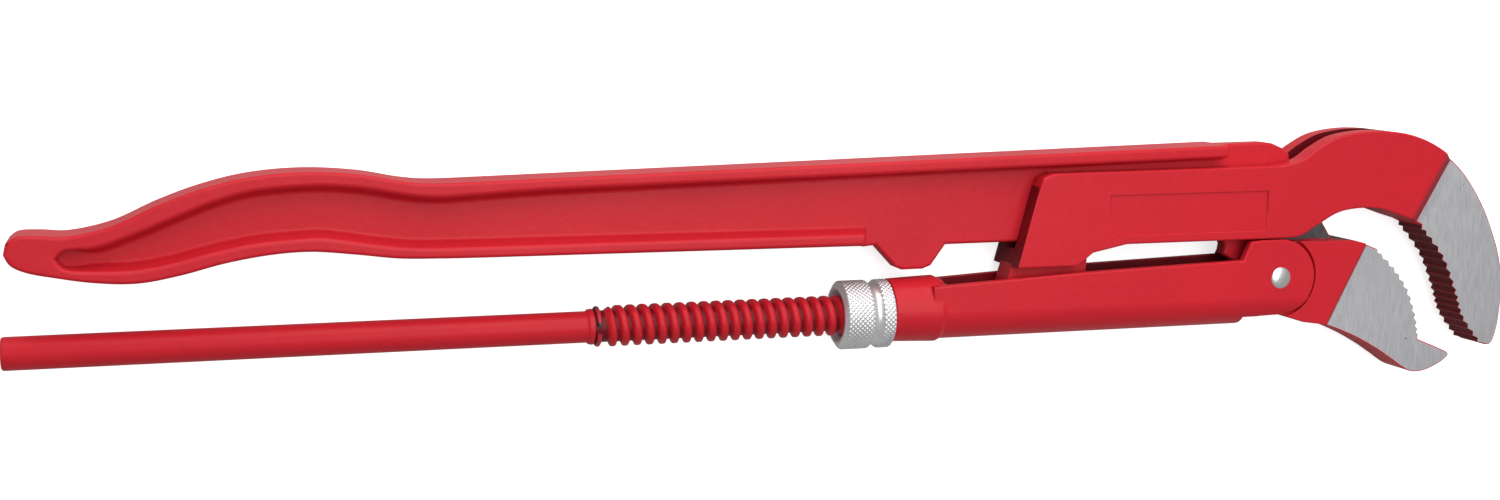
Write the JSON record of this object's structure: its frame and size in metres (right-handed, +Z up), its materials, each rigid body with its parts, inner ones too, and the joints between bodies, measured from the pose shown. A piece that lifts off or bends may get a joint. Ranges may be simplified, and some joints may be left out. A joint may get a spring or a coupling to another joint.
{
  "type": "pipe wrench",
  "caption": "Red two-handed pipe wrench with S-shaped toothed jaws: a fixed lower jaw on a ribbed lever, a sliding hook jaw on a threaded spindle, and a knurled adjusting nut.",
  "frame": {"origin": "middle of the surface the wrench lies on, under the centre of its outline", "axes": "+X along the spindle towards the jaws, +Y in the plane of the wrench towards the lever, +Z up through the thickness of the wrench as it lies on its side"},
  "size_m": [0.547, 0.0932, 0.0244],
  "materials": {
    "red_paint": "satin powder coat",
    "red_jaw": "satin powder coat with ground bare-steel jaw faces",
    "zinc": "bright zinc plate, knurled",
    "rivet_steel": "bright peened",
    "ring_black": "black spring wire"
  },
  "bodies": {
    "jaw_and_spindle": {"hook_jaw": "red_jaw", "threaded_spindle": "red_paint", "thread_stop_ring": "ring_black"},
    "channel": {"slide_channel": "red_paint", "pivot_rivet": "rivet_steel"},
    "nut": {"adjusting_nut": "zinc"},
    "lever": {"lever_handle": "red_jaw"}
  },
  "joints": [
    {"name": "channel_slide", "type": "slide", "parent": "jaw_and_spindle", "child": "channel", "axis": [1, 0, 0], "range_m": [-0.045, 0.012]},
    {"name": "nut_spin", "type": "hinge", "parent": "channel", "child": "nut", "pos_m": [0.01351, -0.01543, 0.0122], "axis": [1, 0, 0], "range_deg": [-3720, 1000]},
    {"name": "lever_pivot", "type": "hinge", "parent": "channel", "child": "lever", "pos_m": [0.17451, -0.00723, 0.0122], "axis": [0, 0, 1], "range_deg": [-25, 0.9]}
  ],
  "couplings": [
    {"joint": "nut_spin", "follows": "channel_slide", "rad_per_m": 1437.8}
  ]
}
